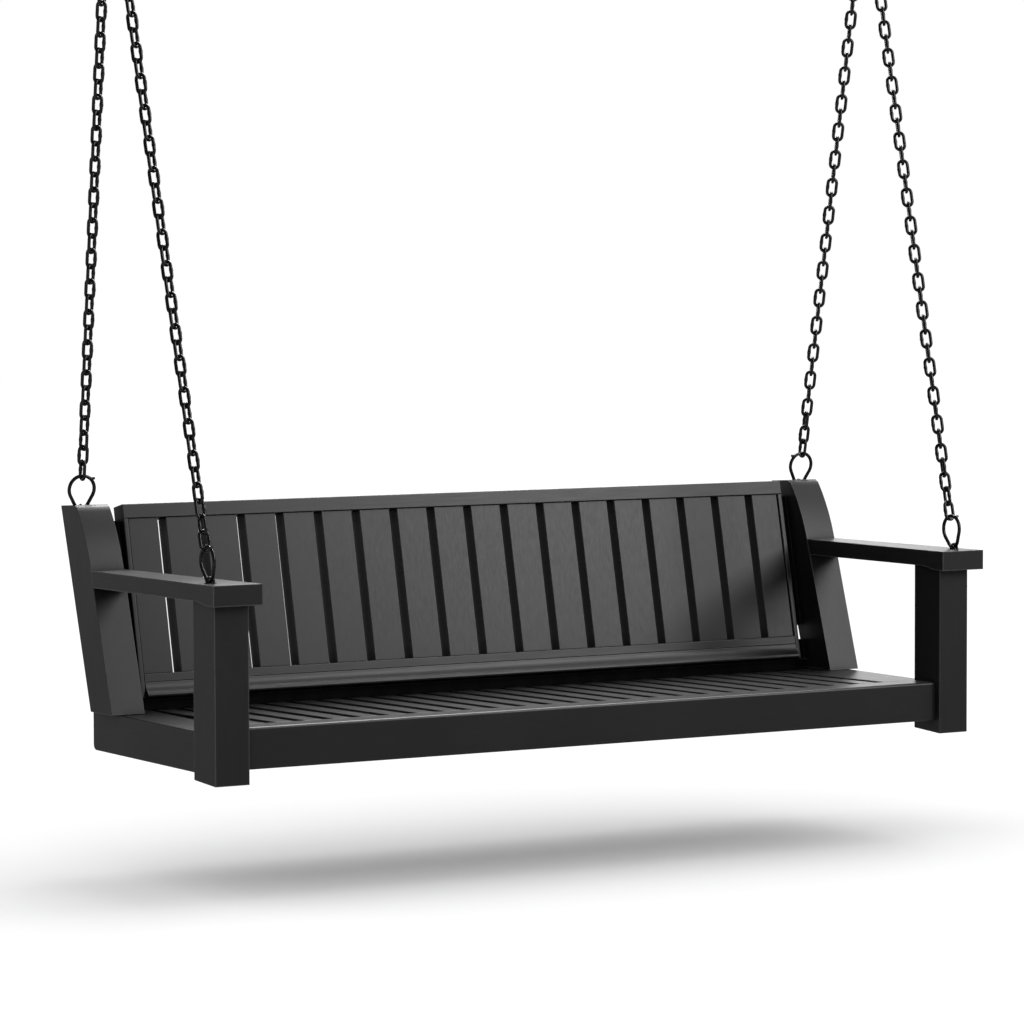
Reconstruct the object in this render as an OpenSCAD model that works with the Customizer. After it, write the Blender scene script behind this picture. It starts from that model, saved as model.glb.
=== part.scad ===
// Porch swing: a slatted wooden bench hung from four chains.
// Millimetres, +Z up, +Y towards the back of the bench, X along its width.
// The origin is the middle of the four ceiling bolt holes, on the beam's underside.

/* [Bench frame] */
// Width over the outer faces of the front posts
frame_w = 1650; // [1645:1:1655]
// Width of a front post, seen from the front
post_w = 67.5; // [64:0.5:70]
// Depth of a front post, front to back
post_d = 83.5; // [80:0.5:86]
// Height of a front post up to the arm
post_h = 321; // [315:1:330]
// How much higher the foot of a front post is at its back edge
foot_rise = 4.6; // [0:0.1:6]
// Width of a side rail
side_rail_w = 87; // [84:1:88]
// Underside of the side and rear rails above the front posts' feet
side_rail_z0 = 17; // [14:1:22]
// Top of the side rails
side_rail_z1 = 91.5; // [90:0.5:92]
// Back end of the side and rear rails
frame_y1 = 508; // [506:1:512]

/* [Front rail] */
// Front face of the front rail, behind the posts' front faces
front_rail_y0 = 12.5; // [10:0.5:16]
// Underside of the front rail
front_rail_z0 = 25; // [20:1:30]
// Top of the front rail
front_rail_z1 = 100.5; // [100:0.5:101.5]
// Thickness of the front rail's board
front_rail_t = 30; // [28:1:34]
// Depth of the front rail's top, which carries the rounded nose
front_rail_top = 67.5; // [66:0.5:68]
// Radius of the rounded nose
nose_r = 5; // [3:0.5:8]

/* [Seat] */
// Number of seat slats
seat_slats = 25; // [25:1:25]
// Width of a seat slat
seat_slat_w = 36.5; // [36:0.5:39]
// Distance from one seat slat to the next
seat_pitch = 58.5; // [58.2:0.1:58.7]
// Thickness of a seat slat
seat_slat_t = 20; // [18:1:21]
// Fall of the seat towards the back, in mm for each mm of depth
seat_fall = 0.0215; // [0.018:0.0005:0.023]

/* [Back posts] */
// Width of a back post
back_post_w = 69; // [66:1:70]
// Front face of a back post at its foot
back_post_y0 = 389; // [387:1:392]
// Depth of a back post, measured level
back_post_d = 90; // [88:1:92]
// Rake of the back posts from upright
post_rake = 17.7; // [17.5:0.1:17.9]
// Height at which the front of a back post starts to curve
curve_z = 357; // [356:1:358]
// Front and back edge of a back post's top, and their heights
post_top_y0 = 536; // [535:1:538]
post_top_y1 = 601; // [600:1:602]
post_top_z0 = 473; // [472:0.5:474]
post_top_z1 = 469.5; // [469:0.5:471]
// Rounding of a back post's top front edge
post_top_r = 6; // [5:0.5:8]

/* [Armrests] */
// Outer face of the arms and the back posts from the middle
arm_x1 = 841; // [840:0.5:842]
// Inner edge of an arm at its front end
arm_x0 = 743.5; // [741:0.5:746]
// Front end of the arms, in front of the front posts
arm_y0 = -28.5; // [-32:0.5:-25]
// Thickness of an arm at its nose
arm_t = 37.5; // [37:0.5:39]
// Thickness of an arm along its free span
arm_span_t = 31.5; // [30:0.5:33]
// Fall of the arm's top towards the back
arm_fall = 0.0075; // [0.005:0.0005:0.009]

/* [Back panel] */
// Half width of the back panel
panel_x = 746; // [744:0.5:747]
// Front face of the panel at its lowest edge
panel_y0 = 455; // [453:1:457]
// Height of the panel's lowest front edge
panel_z0 = 113; // [112:1:115]
// Height of the panel along its slope
panel_h = 368; // [366:1:370]
// Rake of the panel from upright
panel_rake = 12.2; // [11.9:0.1:12.4]
// Thickness of the panel's rails
panel_t = 41; // [39:1:42]
// Height of the panel's top rail
top_rail_h = 27; // [25:0.5:29]
// Height of the lower board
board_h = 30; // [28:0.5:32]
// Radius of the lower board's nose
board_r = 4; // [3:0.5:4.5]
// How far the lower board's nose stands forward
board_nose = 7.5; // [6:0.5:8]
// Height of the bottom rail
bottom_rail_h = 16; // [14:0.5:18]
// Width of a stile's front face
stile_w = 9; // [8:0.5:10]
// Number of back slats
back_slats = 18; // [18:1:18]
// Width of a back slat
back_slat_w = 65.8; // [64:0.2:66.4]
// Distance from one back slat to the next
back_pitch = 83.2; // [83:0.1:83.4]
// Thickness of a back slat
back_slat_t = 34; // [31:1:35]
// How far the slats lie behind the panel's front
slat_recess = 4; // [2:0.5:6]

/* [Chains] */
// Wire diameter of a chain link
link_wire = 6.5; // [6.3:0.1:6.6]
// Outer width of a chain link
link_w = 24; // [23.8:0.1:24.2]
// Number of links in a front chain
front_links = 44; // [44:1:44]
// Number of links in a rear chain
rear_links = 40; // [40:1:40]
// Turn of the links about the chain, away from the bench's own directions
chain_turn = 30; // [0:1:32]
// Wire diameter of an end ring
ring_wire = 6.8; // [6.6:0.1:6.9]
// Outer width and height of an end ring
ring_w = 58; // [57:0.5:58.5]
ring_h = 69; // [68:0.5:70]
// Gap kept where one link bears on another
bearing_gap = 0.3; // [0.25:0.05:0.35]

/* [Hanging points] */
// Sideways place of the eye bolts from the middle
eye_x = 816; // [815:0.5:817]
// Front and rear eye bolts, behind the front posts' front faces
front_eye_y = 33; // [31:1:35]
rear_eye_y = 566; // [564:1:568]
// Radius and depth of the counterbore that a rear eye bolt stands in
rear_bore_r = 19; // [18.5:0.5:19.5]
rear_bore = 18; // [17:0.5:19]
// Radius and depth of the counterbore that a front eye bolt stands in
front_bore_r = 11.5; // [11:0.5:12]
front_bore = 8; // [7:0.5:9]
// Sideways place of the hangers from the middle
hang_x = 842; // [840:1:844]
// Centre of the top rings, behind the front posts' front faces
hang_y = 370; // [369:0.5:371]
// Centre of the top rings above the front posts' feet
hang_z = 1676; // [1674:0.5:1678]
// Mean radius and wire diameter of a top ring
top_ring_r = 30; // [29.5:0.5:31]
top_ring_wire = 8; // [7.5:0.5:8]

/* [Ceiling hangers] */
// Size and thickness of a hanger's plate
plate_x = 64; // [62:1:70]
plate_y = 150; // [146:1:160]
plate_t = 6; // [5:0.5:8]
// Distance between the two bolt holes of a plate
hole_spacing = 110; // [104:1:116]
// Radius of a bolt hole
hole_r = 5.5; // [4.5:0.5:6]
// Radius of the pivot bolts
pivot_r = 6; // [6:0.5:6]
// Pivot axis below the plate's lower face
pivot_drop = 30; // [28:1:34]

/* [Hidden] */
$fn = 48;
wood = [0.17, 0.17, 0.175];
iron = [0.10, 0.10, 0.105];
zinc = [0.55, 0.55, 0.57];
bronze = [0.72, 0.52, 0.28];
fit = 0.15;
rear_rail_t = 38;
post_x1 = frame_w / 2;
post_x0 = post_x1 - post_w;
rail_x1 = post_x1 - 3;
rail_x0 = rail_x1 - side_rail_w;
arm_z0 = post_h;
arm_z1 = post_h + arm_t;
back_post_x0 = arm_x1 - back_post_w;
rake = tan(post_rake);
back_y_at_curve = back_post_y0 + rake * (curve_z - side_rail_z1);
seat_y0 = front_rail_y0 + front_rail_top + 0.5;
rear_rail_y0 = frame_y1 - rear_rail_t;
seat_y1 = rear_rail_y0 - 1;
seat_z = front_rail_z1 - 1.7;
board_gap = 0.2;
slat_x1 = panel_x - stile_w - 1.5;
back_slat_x0 = -((back_slats - 1) * back_pitch + back_slat_w) / 2;
slat_z0 = board_h + bottom_rail_h + 2 * board_gap;
slat_z1 = panel_h - top_rail_h - board_gap;
ledger_t = 22;
bearer_t = 38;
middle_y0 = 300;
screw_rows = [middle_y0 + bearer_t / 2, rear_rail_y0 - bearer_t / 2];
spacer_t = 16;
eye_r = 7;
eye_wire = 5;
washer_t = 1.5;
lag_r = 4;
lag_length = 62;
ring_gap = 0.4;
eye_lift = washer_t + eye_r + eye_wire / 2;
wire_lift = eye_r - eye_wire / 2 - ring_wire / 2 - ring_gap;
ring_r1 = (ring_w - ring_wire) / 2;
ring_r0 = 15.5;
bead_r = ring_wire / 2 + 0.1;
lap_at = 40;
lap_out = 48;
ring_between = ring_h - ring_wire - ring_r1 - ring_r0;
ring_top = ring_r0 + ring_between + ring_r1;
front_eye_z = arm_z1 - arm_fall * (front_eye_y - arm_y0) - front_bore;
post_top_fall = (post_top_z0 - post_top_z1) / (post_top_y1 - post_top_y0);
rear_top_z = post_top_z0 - post_top_fall * (rear_eye_y - post_top_y0);
rear_eye_z = rear_top_z - rear_bore;
turn_in = 4;
turn_out = 5;
link_lap = link_wire + bearing_gap;
ring_lap = ring_wire / 2 + link_wire / 2 + bearing_gap;
top_lap = top_ring_wire / 2 + link_wire / 2 + bearing_gap;
yoke_r = 11;
yoke_wire = 8;
yoke_z = hang_z + top_ring_r + yoke_r - yoke_wire / 2 - top_ring_wire / 2 - ring_gap;
shank_r = 5.5;
barrel_r = 12;
barrel_l = 30;
bush_r = 8;
pivot_z = yoke_z + yoke_r + 34;
mount_z = pivot_z + pivot_drop + plate_t;
ear_t = 6;
ear_r = 18;
ear_x = barrel_l / 2 + 2;
pivot_washer_t = 1.6;
screw_r = 2.2;
screw_head_r = 4.5;
screw_head_t = 3;
screw_length = 38;
sides = ["left", "right"];
chain_parts = ["top_ring", "front_ring", "rear_ring", "front_chain", "rear_chain"];
bench_parts = ["front_post", "back_post", "armrest", "side_rail"];

// Front Y of the raked back at height z, below the curve.
function back_front(z) = back_post_y0 + rake * (z - side_rail_z1);

// Points of an arc about [cy, cz] from angle a0 to a1.
function arc(cy, cz, r, a0, a1, steps = 8) =
    [for (i = [0:steps]) let (a = a0 + (a1 - a0) * i / steps) [cy + r * cos(a), cz + r * sin(a)]];

// Top of the seat slats at depth y.
function seat_top(y) = seat_z - seat_fall * (y - seat_y0);

// Length and angles of the line from an eye's wire to the centre of its top ring.
function span(from) = norm([hang_x - eye_x, hang_y - from[0], hang_z - from[1]]);
function lean(from) = atan2(hang_y - from[0], hang_z - from[1]);
function splay(from) = asin((hang_x - eye_x) / span(from));

front_wire = [front_eye_y, front_eye_z + eye_lift + wire_lift];
rear_wire = [rear_eye_y, rear_eye_z + eye_lift + wire_lift];

// Places children, drawn from the front posts' feet, under the ceiling mount.
module placed() {
    translate([0, -hang_y, -mount_z]) children();
}

// Draws children at the right-hand side, or mirrored to the left.
module at_side(s) {
    if (s == "left") mirror([1, 0, 0]) children();
    else children();
}

// Extrudes a side outline of [y, z] points from x0 to x1.
module across(x0, x1, points) {
    translate([x0, 0, 0]) rotate([90, 0, 90]) linear_extrude(height = x1 - x0) polygon(points);
}

// A torus arc in the XZ plane, from angle a0 over sweep degrees.
module bent_wire(r, wire, a0 = 0, sweep = 360) {
    rotate([90, 0, 0]) rotate([0, 0, a0])
        rotate_extrude(angle = sweep) translate([r, 0]) circle(d = wire);
}

// Places children on a chain's line, z along it from the eye's wire.
module on_chain(from) {
    translate([eye_x, from[0], from[1]]) rotate([-lean(from), 0, 0]) rotate([0, splay(from), 0]) children();
}

module hex(af, h) {
    cylinder(d = af / cos(30), h = h, $fn = 6);
}

module hanger() {
    difference() {
        union() {
            translate([hang_x - plate_x / 2, hang_y - plate_y / 2, mount_z - plate_t])
                cube([plate_x, plate_y, plate_t]);
            for (x = [hang_x - ear_x - ear_t, hang_x + ear_x]) ear(x);
        }
        for (k = [-1, 1])
            translate([hang_x, hang_y + k * hole_spacing / 2, mount_z - plate_t - 1])
                cylinder(r = hole_r, h = plate_t + 2);
        translate([hang_x - plate_x / 2, hang_y, pivot_z]) rotate([0, 90, 0])
            cylinder(r = pivot_r + fit, h = plate_x);
    }
}

module ear(x) {
    translate([x, hang_y - ear_r, pivot_z]) cube([ear_t, 2 * ear_r, pivot_drop + 0.5]);
    translate([x, hang_y, pivot_z]) rotate([0, 90, 0]) cylinder(r = ear_r, h = ear_t);
}

module pivot_bolt() {
    translate([hang_x, hang_y, pivot_z]) rotate([0, 90, 0]) {
        translate([0, 0, -ear_x - ear_t - fit]) cylinder(r = pivot_r, h = 2 * (ear_x + ear_t) + 16);
        translate([0, 0, -ear_x - ear_t - fit - 7.5]) hex(18, 7.6);
    }
}

module pivot_washer_pair() {
    for (x = [-ear_x + fit, barrel_l / 2 + fit])
        translate([hang_x + x, hang_y, pivot_z]) rotate([0, 90, 0]) pivot_washer();
}

module pivot_washer() {
    difference() {
        cylinder(r = 11, h = pivot_washer_t);
        translate([0, 0, -1]) cylinder(r = pivot_r + fit, h = pivot_washer_t + 2);
    }
}

module pivot_nut() {
    translate([hang_x + ear_x + ear_t + fit, hang_y, pivot_z]) rotate([0, 90, 0])
        difference() {
            hex(18, 11);
            translate([0, 0, -1]) cylinder(r = pivot_r + 0.05, h = 13);
        }
}

module yoke() {
    difference() {
        translate([hang_x, hang_y, 0]) union() {
            translate([0, 0, yoke_z]) bent_wire(yoke_r, yoke_wire);
            translate([0, 0, yoke_z + yoke_r]) cylinder(r = shank_r, h = pivot_z - yoke_z - yoke_r);
            translate([-barrel_l / 2, 0, pivot_z]) rotate([0, 90, 0]) cylinder(r = barrel_r, h = barrel_l);
        }
        translate([hang_x - barrel_l, hang_y, pivot_z]) rotate([0, 90, 0])
            cylinder(r = bush_r + 0.02, h = 2 * barrel_l);
    }
}

module bush() {
    translate([hang_x - barrel_l / 2, hang_y, pivot_z]) rotate([0, 90, 0])
        difference() {
            cylinder(r = bush_r, h = barrel_l);
            translate([0, 0, -1]) cylinder(r = pivot_r + 0.05, h = barrel_l + 2);
        }
}

module top_ring() {
    translate([hang_x, hang_y, hang_z]) rotate([0, 0, 90]) bent_wire(top_ring_r, top_ring_wire);
}

// A pear-shaped ring standing on its wire's lowest point, wide end up, with the lapped wire end.
// Each joint between a bend and a straight has a weld bead a little thicker than the wire.
module pear_ring() {
    tilt = asin((ring_r1 - ring_r0) / ring_between);
    straight = ring_between * cos(tilt);
    translate([0, 0, ring_r0]) bent_wire(ring_r0, ring_wire, 180 + tilt, 180 - 2 * tilt);
    translate([0, 0, ring_r0 + ring_between]) bent_wire(ring_r1, ring_wire, -tilt, 180 + 2 * tilt);
    for (k = [-1, 1])
        translate([k * ring_r0 * cos(tilt), 0, ring_r0 - ring_r0 * sin(tilt)]) rotate([0, k * tilt, 0]) {
            translate([0, 0, 0.2]) cylinder(d = ring_wire, h = straight - 0.4);
            for (z = [0, straight]) translate([0, 0, z]) sphere(r = bead_r);
        }
    translate([0, 0, ring_r0 + ring_between]) rotate([0, -lap_at, 0])
        translate([0, 0, ring_r1]) rotate([0, -lap_out, 0]) cylinder(d = ring_wire - 1.4, h = 9);
}

module end_ring(from, turn) {
    on_chain(from) rotate([0, 0, turn]) pear_ring();
}

// A link standing on the centre of its lower bend's wire, length long between bend centres' wires.
module link(length) {
    bend = (link_w - link_wire) / 2;
    translate([0, 0, bend]) bent_wire(bend, link_wire, 180, 180);
    translate([0, 0, length - bend]) bent_wire(bend, link_wire, 0, 180);
    for (k = [-1, 1]) translate([k * bend, 0, bend]) cylinder(d = link_wire, h = length - 2 * bend);
}

// A chain of links from an end ring to the top ring; every second link stands crosswise.
// The links turn away from first_turn near the ring and come round to last_turn at the top.
module chain(from, links, first_turn, last_turn) {
    start = ring_top - ring_lap;
    pitch = (span(from) - top_ring_r + top_lap - start - link_lap) / links;
    on_chain(from)
        for (i = [0:links - 1]) {
            near_top = max(0, (i - links + 1 + turn_out) / turn_out);
            turn = -chain_turn * min(1, i / turn_in) * (1 - near_top) + last_turn * near_top;
            translate([0, 0, start + i * pitch]) rotate([0, 0, first_turn + 90 * (i % 2) + turn])
                link(pitch + link_lap);
        }
}

module front_post() {
    difference() {
        across(post_x0, post_x1, [[0, 0], [post_d, foot_rise], [post_d, post_h + 10], [0, post_h + 10]]);
        translate([eye_x, front_eye_y, post_h - 40]) cylinder(r = lag_r + fit, h = 60);
    }
}

module armrest() {
    difference() {
        intersection() {
            across(0, frame_w, arm_outline());
            linear_extrude(height = 500) polygon([
                [arm_x0, arm_y0], [arm_x1, arm_y0], [arm_x1, frame_y1], [back_post_x0, frame_y1],
                [back_post_x0, back_front(arm_z0)]
            ]);
        }
        translate([post_x0 - fit, -fit, 0]) cube([post_w + 2 * fit, post_d + 2 * fit, post_h + 10 + fit]);
        translate([eye_x, front_eye_y, 0]) cylinder(r = lag_r + fit, h = 500);
        translate([eye_x, front_eye_y, front_eye_z]) cylinder(r = front_bore_r, h = 2 * front_bore);
    }
}

// Side outline of an arm: a thick nose that blends into the thinner span by a half wave.
function arm_outline() =
    let (rise = arm_t - arm_span_t, y0 = -8, y1 = 48, z1 = arm_z1 - arm_fall * (back_y_at_curve - arm_y0))
    concat(
        [[arm_y0, arm_z0]],
        [for (i = [0:8]) [y0 + (y1 - y0) * i / 8, arm_z0 + rise * (1 - cos(180 * i / 8)) / 2]],
        [[back_front(z1 - arm_span_t) - fit, z1 - arm_span_t], [back_front(z1) - fit, z1], [arm_y0, arm_z1]]
    );

module side_rail() {
    r = 11;
    across(rail_x0, rail_x1, concat(
        [[post_d + fit, side_rail_z0]],
        arc(frame_y1 - r, side_rail_z0 + r, r, -90, 0),
        [[frame_y1, side_rail_z1 - 3], [frame_y1 - 3, side_rail_z1], [post_d + fit, side_rail_z1]]
    ));
}

module front_rail() {
    y0 = front_rail_y0;
    y2 = front_rail_y0 + front_rail_top;
    across(-post_x0 + fit, post_x0 - fit, concat(
        arc(y0 + 3, front_rail_z0 + 3, 3, 180, 270, 4),
        [[y0 + front_rail_t, front_rail_z0], [y0 + front_rail_t, seat_z - seat_slat_t]],
        [[y2, seat_z - seat_slat_t], [y2, seat_z]],
        arc(y0 + nose_r, front_rail_z1 - nose_r, nose_r, 90, 180)
    ));
}

module front_ledger() {
    y0 = front_rail_y0 + front_rail_t + fit;
    translate([-rail_x0 + 1, y0, front_rail_z0 + 12])
        cube([2 * rail_x0 - 2, ledger_t, seat_z - seat_slat_t - front_rail_z0 - 12 - fit]);
}

module bearer(y0, y1, z0) {
    translate([-rail_x0 + fit, y0, z0])
        cube([2 * (rail_x0 - fit), y1 - y0, seat_top(y1) - seat_slat_t - z0 - fit]);
}

// The rear rail rises behind the slats, laps over the side rails and is cut to the panel's underside.
module rear_rail() {
    function under(y) = panel_z0 + 0.6 - (y - panel_y0) * tan(panel_rake);
    lap_z0 = side_rail_z1 + fit;
    across(-rail_x0 + fit, rail_x0 - fit, [
        [rear_rail_y0, side_rail_z0], [frame_y1, side_rail_z0],
        [frame_y1, lap_z0 + 1], [rear_rail_y0, lap_z0 + 1]
    ]);
    across(-back_post_x0 + fit, back_post_x0 - fit, [
        [rear_rail_y0, lap_z0], [frame_y1, lap_z0],
        [frame_y1, under(frame_y1)], [rear_rail_y0, under(rear_rail_y0)]
    ]);
}

module seat_slat(x) {
    across(x - seat_slat_w / 2, x + seat_slat_w / 2, [
        [seat_y0, seat_top(seat_y0) - seat_slat_t], [seat_y1, seat_top(seat_y1) - seat_slat_t],
        [seat_y1, seat_top(seat_y1) - 3], [seat_y1 - 3, seat_top(seat_y1 - 3)], [seat_y0, seat_top(seat_y0)]
    ]);
}

function slat_x(i) = (i - (seat_slats - 1) / 2) * seat_pitch;

// Screws up through the middle bearer and the ledger into every slat.
module seat_screw(x, y) {
    top = seat_top(y) - 6;
    translate([x, y, top - screw_length]) cylinder(r = screw_r, h = screw_length);
    translate([x, y, top - screw_length - screw_head_t]) cylinder(r = screw_head_r, h = screw_head_t + 0.1);
}

module back_post() {
    chord = [post_top_y0 - back_y_at_curve, post_top_z0 - curve_z];
    bow = atan2(chord[0], chord[1]) - post_rake;
    r = norm(chord) / (2 * sin(bow));
    cy = back_y_at_curve + r * cos(post_rake);
    cz = curve_z - r * sin(post_rake);
    difference() {
        across(back_post_x0, arm_x1, concat(
            [[back_post_y0, side_rail_z1 + fit]],
            arc(cy, cz, r, 180 - post_rake, 180 - post_rake - 2 * bow * (1 - post_top_r / norm(chord)), 14),
            arc(post_top_y0 + post_top_r, post_top_z0 - post_top_r - 0.5, post_top_r, 140, 87, 5),
            [[post_top_y1, post_top_z1], [back_post_y0 + back_post_d, side_rail_z1 + fit]]
        ));
        translate([eye_x, rear_eye_y, rear_eye_z]) cylinder(r = rear_bore_r, h = 2 * rear_bore);
        translate([eye_x, rear_eye_y, rear_eye_z - lag_length]) cylinder(r = lag_r + fit, h = 80);
    }
}

// Draws children in the back panel's own frame: y into its thickness, z up its slope.
module in_panel() {
    translate([0, panel_y0, panel_z0]) rotate([-panel_rake, 0, 0]) children();
}

module panel_top_rail() {
    in_panel() across(-panel_x, panel_x, concat(
        [[0, panel_h - top_rail_h], [panel_t, panel_h - top_rail_h], [panel_t, panel_h]],
        arc(2.5, panel_h - 2.5, 2.5, 90, 180, 4)
    ));
}

module panel_bottom_rail() {
    z0 = board_h + board_gap;
    in_panel() across(-panel_x + stile_w + fit, panel_x - stile_w - fit,
        [[0.5, z0], [panel_t, z0], [panel_t, z0 + bottom_rail_h], [0.5, z0 + bottom_rail_h]]);
}

// The lower board's face sweeps forward into a rounded nose over the seat.
module panel_lower_board() {
    in_panel() across(-panel_x + stile_w + fit, panel_x - stile_w - fit, concat(
        [[0, board_h]],
        [for (i = [0:6]) [-board_nose * pow(i / 6, 2), board_h - 3 - (board_h - 11) * i / 6]],
        arc(board_r - board_nose - 0.5, board_r + 1, board_r, 150, 270),
        [[panel_t - 3, 1], [panel_t, 4], [panel_t, board_h]]
    ));
}

module stile() {
    in_panel() translate([panel_x - stile_w, 0.5, 1])
        cube([stile_w, panel_t - 1, panel_h - top_rail_h - board_gap - 1]);
}

module back_slat(i) {
    left = back_slat_x0 + (i - 1) * back_pitch;
    x0 = max(left, -slat_x1);
    x1 = min(left + back_slat_w, slat_x1);
    in_panel() translate([x0, slat_recess, slat_z0]) cube([x1 - x0, back_slat_t, slat_z1 - slat_z0]);
}

// A cleat between the panel and a back post, from z0 to z1 up the slope.
module panel_spacer(z0, z1) {
    in_panel() translate([panel_x + fit, panel_t - spacer_t - 2, z0])
        cube([back_post_x0 - panel_x - 2 * fit, spacer_t, z1 - z0]);
}

// An eye bolt whose eye stands on the wood; crosswise turns the eye by 90 degrees.
module eye_bolt(y, z, crosswise) {
    translate([eye_x, y, z]) {
        translate([0, 0, eye_lift]) rotate([0, 0, crosswise ? 90 : 0]) bent_wire(eye_r, eye_wire);
        translate([0, 0, 2 - lag_length]) cylinder(r = lag_r, h = lag_length + washer_t - 0.5);
    }
}

module eye_washer(y, z) {
    translate([eye_x, y, z + 0.05]) difference() {
        cylinder(r = 10, h = washer_t - 0.2);
        translate([0, 0, -1]) cylinder(r = lag_r + fit, h = washer_t + 2);
    }
}

module chain_part(name) {
    if (name == "top_ring") top_ring();
    if (name == "front_ring") end_ring(front_wire, 90);
    if (name == "rear_ring") end_ring(rear_wire, 0);
    if (name == "front_chain") chain(front_wire, front_links, 0, -90);
    if (name == "rear_chain") chain(rear_wire, rear_links, 90, 0);
}

module bench_part(name) {
    if (name == "front_post") front_post();
    if (name == "back_post") back_post();
    if (name == "armrest") armrest();
    if (name == "side_rail") side_rail();
}

for (s = sides) {
    color(iron) placed() at_side(s) hanger();
    color(iron) placed() at_side(s) yoke();
    color(bronze) placed() at_side(s) bush();
    color(wood) placed() at_side(s) stile();
    for (n = chain_parts)
        color(iron) placed() at_side(s) chain_part(n);
    for (n = bench_parts)
        color(wood) placed() at_side(s) bench_part(n);
}
color(zinc) placed() for (s = sides) at_side(s) pivot_bolt();  // pivot_bolts
color(zinc) placed() for (s = sides) at_side(s) pivot_washer_pair();  // pivot_washers
color(zinc) placed() for (s = sides) at_side(s) pivot_nut();  // pivot_nuts
color(wood) placed() front_rail();
color(wood) placed() front_ledger();
color(wood) placed() bearer(middle_y0, middle_y0 + bearer_t, 36);  // middle_bearer
color(wood) placed() bearer(rear_rail_y0 - bearer_t, rear_rail_y0 - fit, 34);  // rear_ledger
color(wood) placed() rear_rail();
color(wood) placed() for (i = [0:seat_slats - 1]) seat_slat(slat_x(i));
color(zinc) placed() for (i = [0:seat_slats - 1]) for (y = screw_rows) seat_screw(slat_x(i), y);  // seat_screws
color(wood) placed() panel_top_rail();
color(wood) placed() panel_bottom_rail();
color(wood) placed() panel_lower_board();
for (i = [1:back_slats])
    color(wood) placed() back_slat(i);
color(wood) placed() for (s = sides) for (z = [[1, 42], [72, 340]]) at_side(s) panel_spacer(z[0], z[1]);  // panel_spacers
color(iron) placed() for (s = sides) at_side(s) {  // eye_bolts
        eye_bolt(front_eye_y, front_eye_z, false);
        eye_bolt(rear_eye_y, rear_eye_z, true);
    }
color(iron) placed() for (s = sides) at_side(s) {  // eye_washers
        eye_washer(front_eye_y, front_eye_z);
        eye_washer(rear_eye_y, rear_eye_z);
    }
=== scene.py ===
import math

import bmesh
import bpy
import numpy as np
from mathutils import Matrix, Vector


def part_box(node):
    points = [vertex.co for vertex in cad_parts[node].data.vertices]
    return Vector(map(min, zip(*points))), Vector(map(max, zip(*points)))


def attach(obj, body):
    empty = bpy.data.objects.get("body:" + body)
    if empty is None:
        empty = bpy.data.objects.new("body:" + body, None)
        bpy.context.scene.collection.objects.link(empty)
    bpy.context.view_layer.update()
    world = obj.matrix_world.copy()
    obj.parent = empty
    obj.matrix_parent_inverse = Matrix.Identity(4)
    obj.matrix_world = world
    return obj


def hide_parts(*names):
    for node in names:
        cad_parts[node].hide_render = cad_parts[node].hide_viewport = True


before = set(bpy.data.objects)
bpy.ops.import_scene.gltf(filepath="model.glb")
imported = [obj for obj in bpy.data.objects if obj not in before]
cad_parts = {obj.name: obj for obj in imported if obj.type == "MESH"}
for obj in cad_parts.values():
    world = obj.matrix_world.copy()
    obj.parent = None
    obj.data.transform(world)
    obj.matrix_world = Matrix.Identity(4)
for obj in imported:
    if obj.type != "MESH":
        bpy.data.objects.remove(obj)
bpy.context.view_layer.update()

# ------------------------------------------------ named values, in metres, degrees and watts

# Width of the rounding on an arris of frame timber, of a slat and of a metal part
EASE = {"frame": 0.0020, "slat": 0.0012, "metal": 0.0008}
EASE_STEPS = 3
# Edges that turn more than SHARP are rounded over, once faces within FLAT of each other are joined
SHARP, FLAT = 32, 0.6
# Points of a CAD mesh closer than this are one point
SAME_POINT = 1e-6

# How much the wire of a link swells at its weld, and how far along the wire
WELD_SWELL, WELD_LENGTH = 1.22, 0.0035
# Points round the wire, round each bend of a link and along each of its sides
WIRE_STEPS, BEND_STEPS, SIDE_STEPS = 10, 9, 9

# The bench's place: the middle of its width, at the front of the front posts and under their feet
post_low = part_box("left_front_post")[0]
BENCH = Vector((0, post_low[1], post_low[2]))

# The camera's turn, its place from the bench, and its lens in millimetres
YAW, PITCH, ROLL = 30.9, 3.415, -0.167
CAMERA_FROM_BENCH = Vector((-4.1907, -6.6439, 0.9284))
LENS, SENSOR = 149.0, 36.0

# The floor lies this far under the feet
FLOOR_DROP, FLOOR_SIZE = 0.21, 60
FLOOR_WHITE, FLOOR_SHEEN = 0.93, 0.28
# The white surroundings, as rough surfaces and as glossy ones see them
DOME, ROOM = 1.0, 0.05
SUN_FROM, SUN_STRENGTH, SUN_ANGLE = Vector((1.0, 0.2, 1.0)), 0.85, 50.0
# The softboxes: place from the point they light, width and height, power
LIT_POINT = BENCH + Vector((0, 0.3, 0.25))
SOFTBOXES = {
    "overhead": ((1.0, 1.5, 2.8), (2.6, 1.6), 178),
    "back_right": ((2.6, 4.4, 1.0), (3.0, 1.2), 40),
    "back_left": ((-3.0, 4.6, 0.4), (2.0, 1.0), 3),
    "front_right": ((2.6, -3.3, 2.4), (1.2, 3.0), 125),
}

# The paints, each from darkest to lightest, and the colour of a rubbed arris, which is both wear and a
# painted highlight
CHARCOAL = (0.005, 0.005, 0.0055), (0.0085, 0.0085, 0.009)
# A near-black copy of the paint for timbers that sit in shadow: painted shade
SHADE_BLACK = (0.002, 0.002, 0.002), (0.004, 0.004, 0.004)
RUBBED_AND_HIGHLIGHT = (0.075, 0.073, 0.07, 1)
# How much the wood's fibres darken the paint at most, and how far that is mixed in
FIBRE_SHADE, FIBRE_MIX = (0.72, 0.72, 0.73), 0.5
# Width of the lighter strip along an arris, both rubbed wear and a painted highlight
RUB_AND_HIGHLIGHT_WIDTH = 0.0035
# How near a facing surface must be for the gloss to be dimmed as painted shade, and the specular level
# where that painted shade is deepest
PAINTED_SHADE_REACH, PAINTED_SHADE_GLOSS = 0.03, 0.03
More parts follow.
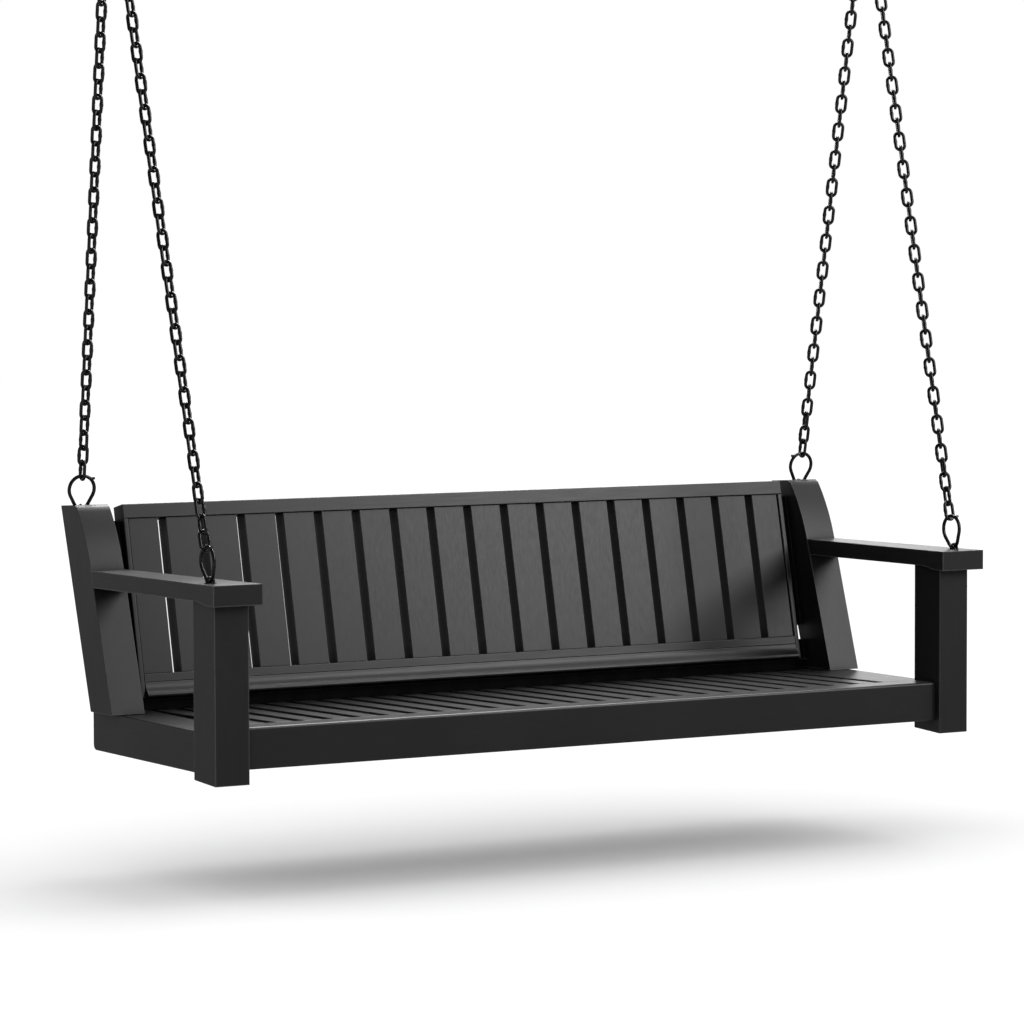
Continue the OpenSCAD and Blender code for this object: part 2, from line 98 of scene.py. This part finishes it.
# Noise scales: wood fibres, clouds in the paint, its orange peel, and patches on iron
FIBRES, CLOUDS, PEEL, PATCHES = 260, 3.5, 900, 60
# Wood fibres are this much denser across the grain than along it
ALONG_GRAIN = 0.06


# ------------------------------------------------ camera, floor and light

def make_camera():
    """The camera stands where the photograph was taken from."""
    yaw, pitch, roll = (math.radians(angle) for angle in (YAW, PITCH, ROLL))
    level = math.cos(pitch)
    forward = Vector((math.sin(yaw) * level, math.cos(yaw) * level, -math.sin(pitch)))
    right = Vector((math.cos(yaw), -math.sin(yaw), 0))
    up = right.cross(forward)
    x = right * math.cos(roll) + up * math.sin(roll)
    y = up * math.cos(roll) - right * math.sin(roll)
    turn = Matrix((x, y, -forward)).transposed()
    data = bpy.data.cameras.new("camera")
    data.sensor_width = SENSOR
    data.lens = LENS
    data.clip_end = 100
    camera = bpy.data.objects.new("camera", data)
    camera.matrix_world = Matrix.Translation(BENCH + CAMERA_FROM_BENCH) @ turn.to_4x4()
    bpy.context.collection.objects.link(camera)
    bpy.context.scene.camera = camera


def add_lamp(name, data, direction):
    """A lamp that shines along the direction."""
    lamp = bpy.data.objects.new(name, data)
    lamp.rotation_euler = direction.to_track_quat("-Z", "Y").to_euler()
    bpy.context.collection.objects.link(lamp)
    return lamp


def make_sun():
    """A very soft high light, the same over the whole floor."""
    data = bpy.data.lights.new("sun", "SUN")
    data.energy = SUN_STRENGTH
    data.angle = math.radians(SUN_ANGLE)
    add_lamp("sun", data, -SUN_FROM)


def make_softbox(name, offset, size, power):
    """An area light for gloss only: it leaves the floor and the paint's own colour alone."""
    data = bpy.data.lights.new(name, "AREA")
    data.shape = "RECTANGLE"
    data.size, data.size_y = size
    data.energy = power
    lamp = add_lamp(name, data, -Vector(offset))
    lamp.location = LIT_POINT + Vector(offset)
    lamp.visible_diffuse = False


def make_world():
    """White behind the bench; glossy paint sees a dim room, so the softboxes shape it."""
    world = bpy.data.worlds.new("studio")
    world.use_nodes = True
    nodes, links = world.node_tree.nodes, world.node_tree.links
    dome = nodes["Background"]
    room, white = nodes.new("ShaderNodeBackground"), nodes.new("ShaderNodeBackground")
    for shader, strength in ((dome, DOME), (room, ROOM), (white, 1.0)):
        shader.inputs["Color"].default_value = (1, 1, 1, 1)
        shader.inputs["Strength"].default_value = strength
    path = nodes.new("ShaderNodeLightPath")
    result = dome
    for ray, shader in (("Is Glossy Ray", room), ("Is Camera Ray", white)):
        either = nodes.new("ShaderNodeMixShader")
        links.new(path.outputs[ray], either.inputs["Fac"])
        links.new(result.outputs[0], either.inputs[1])
        links.new(shader.outputs[0], either.inputs[2])
        result = either
    links.new(result.outputs[0], nodes["World Output"].inputs["Surface"])
    bpy.context.scene.world = world


def make_floor():
    """A matt white floor that shows darker in the bench's gloss."""
    bpy.ops.mesh.primitive_plane_add(size=FLOOR_SIZE, location=(0, 0, BENCH.z - FLOOR_DROP))
    floor = bpy.context.object
    floor.name = "floor"
    material, nodes, links = new_material("floor_white")
    shader = nodes["Principled BSDF"]
    shader.inputs["Roughness"].default_value = 1.0
    shader.inputs["Specular IOR Level"].default_value = 0.0
    glossy = nodes.new("ShaderNodeLightPath").outputs["Is Glossy Ray"]
    white, sheen = (FLOOR_WHITE,) * 3 + (1,), (FLOOR_SHEEN,) * 3 + (1,)
    links.new(mixed(nodes, links, glossy, white, sheen), shader.inputs["Base Color"])
    floor.data.materials.append(material)


# ------------------------------------------------ material nodes

def new_material(name):
    material = bpy.data.materials.new(name)
    material.use_nodes = True
    return material, material.node_tree.nodes, material.node_tree.links


def ramp(nodes, links, value, stops):
    """The value turned into a colour, by stops of place and colour."""
    node = nodes.new("ShaderNodeValToRGB")
    for element, (place, shade) in zip(node.color_ramp.elements, stops):
        element.position = place
        element.color = (*shade, 1)
    links.new(value, node.inputs["Fac"])
    return node.outputs["Color"]


def noise(nodes, links, scale, detail, stretch=(1, 1, 1)):
    """Noise that stays with the piece, closer or wider along each axis by the stretch."""
    mapping = nodes.new("ShaderNodeMapping")
    mapping.inputs["Scale"].default_value = stretch
    place = nodes.new("ShaderNodeTexCoord").outputs["Object"]
    links.new(place, mapping.inputs["Vector"])
    node = nodes.new("ShaderNodeTexNoise")
    node.inputs["Scale"].default_value = scale
    node.inputs["Detail"].default_value = detail
    links.new(mapping.outputs["Vector"], node.inputs["Vector"])
    return node.outputs["Fac"]


def mixed(nodes, links, factor, a, b, blend="MIX"):
    """A mix of two colours; factor, a and b are node outputs or plain values."""
    node = nodes.new("ShaderNodeMix")
    node.data_type = "RGBA"
    node.blend_type = blend
    for name, value in (("Factor", factor), ("A", a), ("B", b)):
        if isinstance(value, bpy.types.NodeSocket):
            links.new(value, node.inputs[name])
        else:
            node.inputs[name].default_value = value
    return node.outputs["Result"]


def spread(nodes, links, value, low, high, across=(0, 1)):
    """The value moved from the range it runs across to the range from low to high."""
    node = nodes.new("ShaderNodeMapRange")
    node.inputs["From Min"].default_value, node.inputs["From Max"].default_value = across
    node.inputs["To Min"].default_value, node.inputs["To Max"].default_value = low, high
    links.new(value, node.inputs["Value"])
    return node.outputs["Result"]


def bumped(nodes, links, height, strength, depth, under=None):
    """A bumped normal, on top of another one if it is given."""
    node = nodes.new("ShaderNodeBump")
    node.inputs["Strength"].default_value = strength
    node.inputs["Distance"].default_value = depth
    links.new(height, node.inputs["Height"])
    if under:
        links.new(under, node.inputs["Normal"])
    return node.outputs["Normal"]


# ------------------------------------------------ materials

def near_arris(nodes, links):
    """White along the arrises of a piece and black on its faces."""
    bevel = nodes.new("ShaderNodeBevel")
    bevel.samples = 4
    bevel.inputs["Radius"].default_value = RUB_AND_HIGHLIGHT_WIDTH
    facing = nodes.new("ShaderNodeVectorMath")
    facing.operation = "DOT_PRODUCT"
    links.new(bevel.outputs["Normal"], facing.inputs[0])
    links.new(nodes.new("ShaderNodeNewGeometry").outputs["Normal"], facing.inputs[1])
    return ramp(nodes, links, facing.outputs["Value"], [(0.80, (1, 1, 1)), (0.985, (0, 0, 0))])


def gloss(nodes, links, full):
    """The specular level: full on open faces, nearly none in crevices, as painted shade."""
    crevice = nodes.new("ShaderNodeAmbientOcclusion")
    crevice.samples = 6
    crevice.inputs["Distance"].default_value = PAINTED_SHADE_REACH
    return spread(nodes, links, crevice.outputs["AO"], PAINTED_SHADE_GLOSS, full, across=(0.35, 0.85))


def painted_wood(name, grain, colours, rough, specular):
    """Satin paint over planed timber: faint grain along one axis, cloudy film, arrises lightened as
    rubbed wear and as a painted highlight, gloss dimmed in crevices as painted shade.
    """
    material, nodes, links = new_material(name)
    surface = nodes["Principled BSDF"].inputs
    stretch = [ALONG_GRAIN if axis == grain else 1 for axis in "xyz"]
    fibres = noise(nodes, links, FIBRES, detail=6, stretch=stretch)
    clouds = noise(nodes, links, CLOUDS, detail=3)
    peel = noise(nodes, links, PEEL, detail=2)

    dark, light = colours
    film = ramp(nodes, links, clouds, [(0.32, dark), (0.68, light)])
    shade = ramp(nodes, links, fibres, [(0.35, FIBRE_SHADE), (0.7, (1, 1, 1))])
    grained = mixed(nodes, links, FIBRE_MIX, film, shade, "MULTIPLY")
    # Arrises lighter: partly rubbed wear, partly a painted highlight
    worn_and_highlit = mixed(nodes, links, near_arris(nodes, links), grained, RUBBED_AND_HIGHLIGHT)
    links.new(worn_and_highlit, surface["Base Color"])
    # Painted shade: the gloss fades out in crevices and gaps
    links.new(gloss(nodes, links, specular), surface["Specular IOR Level"])
    links.new(spread(nodes, links, fibres, *rough), surface["Roughness"])

    raised = bumped(nodes, links, fibres, strength=0.10, depth=0.0004)
    skin = bumped(nodes, links, peel, strength=0.05, depth=0.0002, under=raised)
    links.new(skin, surface["Normal"])
    return material


def coated_metal(name, shade, rough, metallic=0.0, skin_scale=500):
    """Coated or plated metal with a slightly uneven, patchy skin."""
    material, nodes, links = new_material(name)
    surface = nodes["Principled BSDF"].inputs
    patches = noise(nodes, links, PATCHES, detail=3)
    skin = noise(nodes, links, skin_scale, detail=3)
    dark, light = (tuple(part * channel for channel in shade) for part in (0.75, 1.25))
    tone = ramp(nodes, links, patches, [(0.3, dark), (0.7, light)])
    links.new(tone, surface["Base Color"])
    links.new(spread(nodes, links, patches, *rough), surface["Roughness"])
    links.new(bumped(nodes, links, skin, strength=0.12, depth=0.0003), surface["Normal"])
    surface["Metallic"].default_value = metallic
    return material


# ------------------------------------------------ meshes

def node_mesh(node):
    """A CAD node's mesh in its place in the world, to work on."""
    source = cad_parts[node]
    bm = bmesh.new()
    bm.from_mesh(source.data)
    bm.transform(source.matrix_world)
    bmesh.ops.remove_doubles(bm, verts=bm.verts, dist=SAME_POINT)
    return bm


def replace_node(node, ending, bm, material, body):
    """A smooth-shaded piece of the mesh, in the place of the CAD node."""
    mesh = bpy.data.meshes.new(node + ending)
    bm.to_mesh(mesh)
    bm.free()
    for face in mesh.polygons:
        face.use_smooth = True
    mesh.materials.append(material)
    piece = bpy.data.objects.new(node + ending, mesh)
    bpy.context.collection.objects.link(piece)
    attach(piece, body)
    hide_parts(node)
    return piece


def eased(node, width, material, body):
    """The CAD node with every arris rounded over and its faces kept flat."""
    bm = node_mesh(node)
    bmesh.ops.dissolve_limit(bm, angle_limit=math.radians(FLAT), verts=bm.verts, edges=bm.edges)
    arrises = [
        edge for edge in bm.edges
        if len(edge.link_faces) == 2 and edge.calc_face_angle(0) > math.radians(SHARP)
    ]
    bmesh.ops.bevel(
        bm, geom=arrises, offset=width, offset_type="OFFSET", segments=EASE_STEPS, profile=0.5,
        affect="EDGES", clamp_overlap=True, harden_normals=False,
    )
    piece = replace_node(node, "_eased", bm, material, body)
    weighted = piece.modifiers.new("flat_faces", "WEIGHTED_NORMAL")
    weighted.weight = 100
    weighted.keep_sharp = False


def solids(node):
    """The separate solids of a CAD node, each as a list of points."""
    bm = node_mesh(node)
    seen, groups = set(), []
    for start in bm.verts:
        if start in seen:
            continue
        seen.add(start)
        waiting, group = [start], []
        while waiting:
            point = waiting.pop()
            group.append(point.co.copy())
            for other in (edge.other_vert(point) for edge in point.link_edges):
                if other not in seen:
                    seen.add(other)
                    waiting.append(other)
        groups.append(group)
    bm.free()
    return groups


def own_axes(points):
    """The middle, axes from longest to shortest, and three extents of a solid's points."""
    cloud = np.array(points)
    centre = cloud.mean(axis=0)
    axes = np.linalg.svd(cloud - centre, full_matrices=False)[2]
    along = (cloud - centre) @ axes.T
    low, high = along.min(axis=0), along.max(axis=0)
    middle = centre + (low + high) / 2 @ axes
    return Vector(middle), [Vector(axis) for axis in axes], [float(size) for size in high - low]


def oval(length, width, wire):
    """The centre line of a link in its own plane, and the wire's radius at each of its points."""
    bend = (width - wire) / 2
    half = (length - wire) / 2 - bend
    path = []
    for end in (1, -1):
        for k in range(BEND_STEPS + 1):
            turn = math.pi * k / BEND_STEPS
            path.append((end * (half + bend * math.sin(turn)), end * bend * math.cos(turn)))
        for k in range(1, SIDE_STEPS):
            path.append((end * (half - 2 * half * k / SIDE_STEPS), -end * bend))
    radii = [wire / 2] * len(path)
    for k in range(1 - SIDE_STEPS, 0):
        radii[k] *= 1 + (WELD_SWELL - 1) * math.exp(-(path[k][0] / WELD_LENGTH) ** 2)
    return path, radii


def sweep(bm, path, radii):
    """A closed tube along a flat loop of points, with the wire's radius at each."""
    count = len(path)
    flat = (path[count // 4] - path[0]).cross(path[count // 2] - path[0]).normalized()
    angles = [2 * math.pi * k / WIRE_STEPS for k in range(WIRE_STEPS)]
    rings = []
    for i, (point, radius) in enumerate(zip(path, radii)):
        along = (path[(i + 1) % count] - path[i - 1]).normalized()
        out = along.cross(flat).normalized()
        rings.append([
            bm.verts.new(point + radius * (math.cos(angle) * out + math.sin(angle) * flat))
            for angle in angles
        ])
    for i, ring in enumerate(rings):
        after = rings[(i + 1) % count]
        for k in range(WIRE_STEPS):
            beside = (k + 1) % WIRE_STEPS
            bm.faces.new((ring[k], ring[beside], after[beside], after[k]))


def welded_chain(node, material, body):
    """Every link of a chain drawn again with its weld, on the same line as the CAD's."""
    bm = bmesh.new()
    for points in solids(node):
        middle, (x, y, _), (length, width, wire) = own_axes(points)
        path, radii = oval(length, width, wire)
        sweep(bm, [middle + x * u + y * v for u, v in path], radii)
    bmesh.ops.recalc_face_normals(bm, faces=bm.faces)
    replace_node(node, "_welded", bm, material, body)


# ------------------------------------------------ the scene

bpy.context.scene.view_settings.view_transform = "Standard"
make_camera()
make_world()
make_sun()
make_floor()
for name, values in SOFTBOXES.items():
    make_softbox(name, *values)

paint = {
    axis: painted_wood(f"charcoal_paint_{axis}", axis, CHARCOAL, rough=(0.34, 0.46), specular=0.45)
    for axis in "xyz"
}
# Painted shade: a darker, duller copy of the charcoal paint for timbers deep in shadow
painted_shade_black = painted_wood("matt_black_paint", "x", SHADE_BLACK, rough=(0.6, 0.75), specular=0.12)
black_iron = coated_metal("black_gloss_iron", (0.0035, 0.0035, 0.004), rough=(0.2, 0.34))
satin_iron = coated_metal("black_powder_coat", (0.018, 0.018, 0.019), rough=(0.4, 0.55), skin_scale=1500)
zinc_plate = coated_metal("zinc_plate", (0.5, 0.5, 0.52), rough=(0.25, 0.4), metallic=1.0)
bush_bronze = coated_metal("bush_bronze", (0.5, 0.33, 0.14), rough=(0.3, 0.45), metallic=1.0)

# The bench's frame, its seat and its back panel
eased("front_rail", EASE["frame"], paint["x"], "bench")
# The rails and bearers under the seat get the painted-shade black
for name in ("rear_rail", "front_ledger", "middle_bearer", "rear_ledger"):
    eased(name, EASE["frame"], painted_shade_black, "bench")
eased("seat_slats", EASE["slat"], paint["y"], "bench")
for name in ("panel_top_rail", "panel_bottom_rail", "panel_lower_board"):
    eased(name, EASE["slat"], paint["x"], "bench")
# The spacers behind the panel also get the painted-shade black
eased("panel_spacers", EASE["slat"], painted_shade_black, "bench")
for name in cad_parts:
    if name.startswith("back_slat_"):
        eased(name, EASE["slat"], paint["z"], "bench")

# Each side: the bench's end, its chains and rings, and what they hang from
for side in ("left", "right"):
    for name, grain in (("front_post", "z"), ("back_post", "z"), ("armrest", "y"), ("side_rail", "y")):
        eased(f"{side}_{name}", EASE["frame"], paint[grain], "bench")
    eased(f"{side}_stile", EASE["slat"], paint["z"], "bench")
    for end in ("front", "rear"):
        welded_chain(f"{side}_{end}_chain", black_iron, f"{side}_chains")
    for place in ("front", "rear", "top"):
        eased(f"{side}_{place}_ring", EASE["metal"], black_iron, f"{side}_chains")
    eased(f"{side}_hanger", EASE["metal"], satin_iron, "hangers")
    eased(f"{side}_yoke", EASE["metal"], satin_iron, "yokes")
    eased(f"{side}_bush", EASE["metal"], bush_bronze, "yokes")

# The fastenings
for name in ("eye_bolts", "eye_washers"):
    eased(name, EASE["metal"] / 2, black_iron, "bench")
eased("seat_screws", EASE["metal"] / 2, zinc_plate, "bench")
for name in ("pivot_bolts", "pivot_washers", "pivot_nuts"):
    eased(name, EASE["metal"] / 2, zinc_plate, "hangers")
